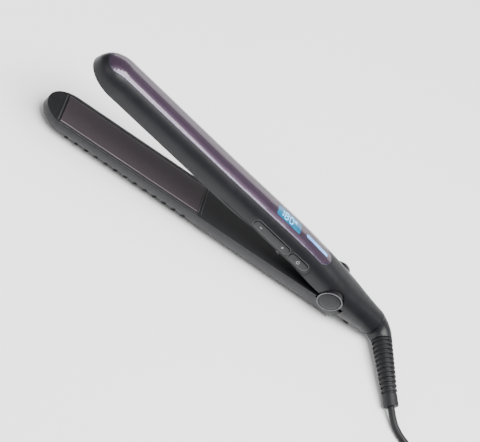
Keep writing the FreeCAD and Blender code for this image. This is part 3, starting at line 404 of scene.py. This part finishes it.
def make_cord():
    """The whole mains lead as one smooth line, from the strain relief to the plug."""
    points = list(LEAD_ROUTE) + coil_points() + list(TAIL_ROUTE)
    data = bpy.data.curves.new("mains_cord", "CURVE")
    data.dimensions = "3D"
    spline = data.splines.new("NURBS")
    spline.points.add(len(points) - 1)
    for control, point in zip(spline.points, points):
        control.co = (*from_hinge(*point), 1.0)
    spline.order_u = 3
    spline.use_endpoint_u = True
    spline.resolution_u = 4
    data.bevel_depth = CORD_DIAMETER / 2
    data.bevel_resolution = 5
    data.use_fill_caps = True
    data.materials.append(MATERIALS["rubber"])
    cord = bpy.data.objects.new("mains_cord", data)
    bpy.context.scene.collection.objects.link(cord)
    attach(cord, "swivel")
    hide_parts("cord_lead", "cord_coil", "cord_tail")


make_cord()


# ---- small marks and painted edge highlights on the arms' surfaces --------------------

# A mark's foot sinks this far into the surface it lies on.
MARK_SINK = 0.05 * MM
# Rays start this far, in millimetres, from the plate plane or from the middle of the arm.
RAY_FROM_TOP = 40
RAY_FROM_SIDE = -40
RAY_FROM_OTHER_ARM = -30


def surface_of(name):
    """A ray-casting tree of one CAD node."""
    return BVHTree.FromObject(frame["nodes"][name], bpy.context.evaluated_depsgraph_get())


def mesh_piece(name, build, material, body="main_arm"):
    """A new mesh piece filled by a function that adds faces to it."""
    mesh = bpy.data.meshes.new(name)
    shape = bmesh.new()
    build(shape)
    shape.normal_update()
    shape.to_mesh(mesh)
    shape.free()
    mesh.materials.append(MATERIALS[material])
    piece = bpy.data.objects.new(name, mesh)
    bpy.context.scene.collection.objects.link(piece)
    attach(piece, body)
    return piece


def slab(shape, outline, drop, thickness):
    """A thin raised slab: outline points are dropped on a surface and given a thickness."""
    low = []
    high = []
    for point in outline:
        spot, normal = drop(*point)
        low.append(shape.verts.new(spot - normal * MARK_SINK))
        high.append(shape.verts.new(spot + normal * thickness))
    shape.faces.new(high)
    count = len(outline)
    for index in range(count):
        after = (index + 1) % count
        shape.faces.new((low[index], low[after], high[after], high[index]))


def drop_from_above(tree):
    """Drops arm coordinates along and across on to the top surface."""
    def drop(x, y):
        spot, normal, _, _ = tree.ray_cast(on_upper(x, y, RAY_FROM_TOP), -UPPER_OUT)
        return spot, normal
    return drop


def drop_from_side(tree):
    """Drops arm coordinates along and out on to the near side."""
    def drop(x, out):
        start = on_upper(x, RAY_FROM_SIDE, out)
        spot, normal, _, _ = tree.ray_cast(start, Vector((0, 1, 0)))
        return spot, normal
    return drop


# Both ends of a seven-part digit's parts, in shares of its width and height.
SEGMENTS = {
    "a": (0, 1, 1, 1), "b": (1, 0.5, 1, 1), "c": (1, 0, 1, 0.5), "d": (0, 0, 1, 0),
    "e": (0, 0, 0, 0.5), "f": (0, 0.5, 0, 1), "g": (0, 0.5, 1, 0.5),
}
DIGITS = {"1": "bc", "8": "abcdefg", "0": "abcdef"}
DIGIT_WIDTH = 3.0
DIGIT_HEIGHT = 5.4
DIGIT_LEAN = 0.5
DIGIT_RELIEF = 0.05 * MM
STROKE = 0.42
STROKE_GAP = 0.18
DIGIT_STARTS = (-74.0, -69.2, -64.4)
READING = "180"
DEGREE_X = -58.6
DEGREE_Y = 1.7
DEGREE_RADIUS = 1.1
DEGREE_SIDES = 4


def bar(start, end):
    """A stroke with pointed ends, as a six-sided outline."""
    direction = (Vector(end) - Vector(start)).normalized()
    side = Vector((-direction.y, direction.x)) * STROKE
    first = Vector(start) + direction * STROKE_GAP
    last = Vector(end) - direction * STROKE_GAP
    inward = direction * STROKE
    return [
        first, first + inward - side, last - inward - side,
        last, last - inward + side, first + inward + side,
    ]


def add_digits(shape):
    """The reading in seven-part digits and a small degree ring."""
    drop = drop_from_above(surface_of("display_window"))
    for digit, start in zip(READING, DIGIT_STARTS):
        for name in DIGITS[digit]:
            x0, y0, x1, y1 = SEGMENTS[name]
            ends = []
            for x, y in ((x0, y0), (x1, y1)):
                along = start + x * DIGIT_WIDTH + y * DIGIT_LEAN
                ends.append((along, (y - 0.5) * DIGIT_HEIGHT))
            slab(shape, bar(*ends), drop, DIGIT_RELIEF)
    for count in range(DEGREE_SIDES):
        angle = math.pi / 2 * count
        ends = []
        for turn in (angle, angle + math.pi / 2):
            x = DEGREE_X + DEGREE_RADIUS * math.cos(turn)
            ends.append((x, DEGREE_Y + DEGREE_RADIUS * math.sin(turn)))
        slab(shape, bar(*ends), drop, DIGIT_RELIEF)


def strip(points, width):
    """Outlines of short straight strips along a line of points."""
    outlines = []
    for start, end in zip(points, points[1:]):
        direction = (Vector(end) - Vector(start)).normalized()
        side = Vector((-direction.y, direction.x)) * width / 2
        first = Vector(start)
        last = Vector(end)
        outlines.append([first + side, first - side, last - side, last + side])
    return outlines


def circle(x, y, radius, start=0.0, end=360.0, steps=20):
    """Points round an arc."""
    points = []
    for step in range(steps + 1):
        angle = math.radians(start + (end - start) * step / steps)
        points.append((x + radius * math.cos(angle), y + radius * math.sin(angle)))
    return points


# The keys' middle line, in millimetres out from the plate plane.
MARK_OUT = 7.2
MARK_RELIEF = 0.03 * MM
MINUS_X = -77.5
PLUS_X = -56.0
SIGN_HALF = 1.0
SIGN_WIDTH = 0.36
POWER_X = -39.8
POWER_RADIUS = 1.15
POWER_ARC = (125, 415)
POWER_BAR = (0.3, 1.5)
POWER_WIDTH = 0.32


def add_rocker_marks(shape):
    """A minus near the front and a plus near the rear of the long key."""
    drop = drop_from_side(surface_of("temperature_rocker"))
    for x, plus in ((MINUS_X, False), (PLUS_X, True)):
        lines = [((x - SIGN_HALF, MARK_OUT), (x + SIGN_HALF, MARK_OUT))]
        if plus:
            lines.append(((x, MARK_OUT - SIGN_HALF), (x, MARK_OUT + SIGN_HALF)))
        for line in lines:
            for outline in strip(line, SIGN_WIDTH):
                slab(shape, outline, drop, MARK_RELIEF)


def add_power_mark(shape):
    """An open ring with a bar."""
    drop = drop_from_side(surface_of("power_button"))
    ring = circle(POWER_X, MARK_OUT, POWER_RADIUS, *POWER_ARC)
    upright = [(POWER_X, MARK_OUT + out) for out in POWER_BAR]
    for line in (ring, upright):
        for outline in strip(line, POWER_WIDTH):
            slab(shape, outline, drop, MARK_RELIEF)


# Width and height of the thin pale strips that paint highlights on edges.
LINE_WIDTH = 0.34
LINE_HEIGHT = 0.04 * MM
PLATE_FRONT_X = -222.0
PLATE_REAR_X = -112.0
RIM_LINE_Y = 13.5
KEY_OUTLINES = ((-83.5, -50.0), (-48.0, -31.7))
KEY_HALF_HEIGHT = 2.3
KEY_LINE_GAP = 0.75
KEY_LINE_STEPS = 8
KEY_END_STEPS = 10
RIM_LINE_STEPS = 12
# Cross lines of painted highlight: two on the frame, one in front of the plate and one behind, and
# one on the cover.
FRONT_LINE_GAP = 1.4
REAR_LINE_GAP = 1.1
COVER_LINE_GAP = 3.3
CROSS_LINE_SHARE = 0.86
CROSS_LINE_STEPS = 8


def add_key_highlight_lines(shape):
    """Painted highlights: fine raised pale lines round the two keys' openings."""
    drop = drop_from_side(surface_of("button_bezel"))
    half = KEY_HALF_HEIGHT + KEY_LINE_GAP
    for front, rear in KEY_OUTLINES:
        first = front + KEY_HALF_HEIGHT
        last = rear - KEY_HALF_HEIGHT
        steps = KEY_LINE_STEPS
        straight = [first + (last - first) * step / steps for step in range(1, steps)]
        loop = circle(first, MARK_OUT, half, 90, 270, KEY_END_STEPS)
        loop += [(x, MARK_OUT - half) for x in straight]
        loop += circle(last, MARK_OUT, half, -90, 90, KEY_END_STEPS)
        loop += [(x, MARK_OUT + half) for x in reversed(straight)]
        for outline in strip(loop + loop[:1], LINE_WIDTH):
            slab(shape, outline, drop, LINE_HEIGHT)


def drop_on_arm(tree, place, out_direction):
    """Drops arm coordinates along and across on to the side that faces the other arm."""
    def drop(x, y):
        spot, normal, _, _ = tree.ray_cast(place(x, y, RAY_FROM_OTHER_ARM), out_direction)
        return spot, normal
    return drop


def add_rim_highlight_lines(arm, place, out_direction):
    """Painted highlights: fine raised pale lines along both rims of a plate's frame and across its
    ends.
    """
    def build(shape):
        rim = drop_on_arm(surface_of(arm + "_plate_frame"), place, out_direction)
        cover = drop_on_arm(surface_of(arm + "_inner_cover"), place, out_direction)
        steps = RIM_LINE_STEPS
        length = PLATE_REAR_X - PLATE_FRONT_X
        places = [PLATE_FRONT_X + length * step / steps for step in range(steps + 1)]
        for side in (-1, 1):
            along = [(x, side * RIM_LINE_Y) for x in places]
            for outline in strip(along, LINE_WIDTH):
                slab(shape, outline, rim, LINE_HEIGHT)
        crossings = (
            (PLATE_FRONT_X - FRONT_LINE_GAP, rim),
            (PLATE_REAR_X + REAR_LINE_GAP, rim),
            (PLATE_REAR_X + COVER_LINE_GAP, cover),
        )
        middle = CROSS_LINE_STEPS / 2
        for x, drop in crossings:
            across = []
            for step in range(CROSS_LINE_STEPS + 1):
                across.append((x, RIM_LINE_Y * (step / middle - 1) * CROSS_LINE_SHARE))
            for outline in strip(across, LINE_WIDTH):
                slab(shape, outline, drop, LINE_HEIGHT)
    return build


mesh_piece("display_digits", add_digits, "digit")
mesh_piece("key_marks", add_rocker_marks, "mark", "rocker")
mesh_piece("power_mark", add_power_mark, "mark", "power_key")
mesh_piece("key_highlight_lines", add_key_highlight_lines, "line")
# Thin pale strips on the plates' frames: painted highlights on the rims and ends.
add_upper_rim_highlights = add_rim_highlight_lines("upper", on_upper, UPPER_OUT)
add_lower_rim_highlights = add_rim_highlight_lines("lower", on_lower, LOWER_OUT)
mesh_piece("upper_rim_highlights", add_upper_rim_highlights, "line")
mesh_piece("lower_rim_highlights", add_lower_rim_highlights, "line", "lower_arm")


# ---- studio -------------------------------------------------------------------------------

FLOOR_SIZE = 6.0
FLOOR_DARK = (0.95, 0.95, 0.95)
FLOOR_LIGHT = (0.97, 0.97, 0.97)
FLOOR_ROUGHNESS = 0.9
WORLD_STRENGTH = 0.40
LIGHT_AIM = (0, 0, 0.03)
# Name, place, size, power.
LIGHTS = (
    ("overhead", (0.25, -0.3, 1.5), (1.6, 1.0), 74),
    ("far_card", (0.6, 1.5, 0.62), (2.4, 0.65), 10),
    ("near_fill", (-1.2, -1.0, 0.9), (0.8, 0.5), 6),
)


def make_floor():
    """A plain pale floor."""
    mesh = bpy.data.meshes.new("floor")
    half = FLOOR_SIZE / 2
    corners = [(-half, -half, 0), (half, -half, 0), (half, half, 0), (-half, half, 0)]
    mesh.from_pydata(corners, [], [(0, 1, 2, 3)])
    floor = bpy.data.objects.new("floor", mesh)
    bpy.context.scene.collection.objects.link(floor)
    material, tree, shader = new_material("pale_floor")
    shade = tint(tree, noise(tree, 3, 2), FLOOR_DARK, FLOOR_LIGHT)
    tree.links.new(shade, shader.inputs["Base Color"])
    shader.inputs["Roughness"].default_value = FLOOR_ROUGHNESS
    mesh.materials.append(material)


def area_light(name, place, size, power):
    """A soft panel of light aimed at the iron."""
    data = bpy.data.lights.new(name, "AREA")
    data.shape = "RECTANGLE"
    data.size, data.size_y = size
    data.energy = power
    light = bpy.data.objects.new(name, data)
    light.location = place
    direction = Vector(LIGHT_AIM) - Vector(place)
    light.rotation_euler = direction.to_track_quat("-Z", "Y").to_euler()
    bpy.context.scene.collection.objects.link(light)


def make_world():
    """Even pale surroundings."""
    world = bpy.data.worlds.new("studio")
    world.use_nodes = True
    background = world.node_tree.nodes["Background"]
    background.inputs["Color"].default_value = (1, 1, 1, 1)
    background.inputs["Strength"].default_value = WORLD_STRENGTH
    bpy.context.scene.world = world


make_floor()
make_world()
for light_facts in LIGHTS:
    area_light(*light_facts)
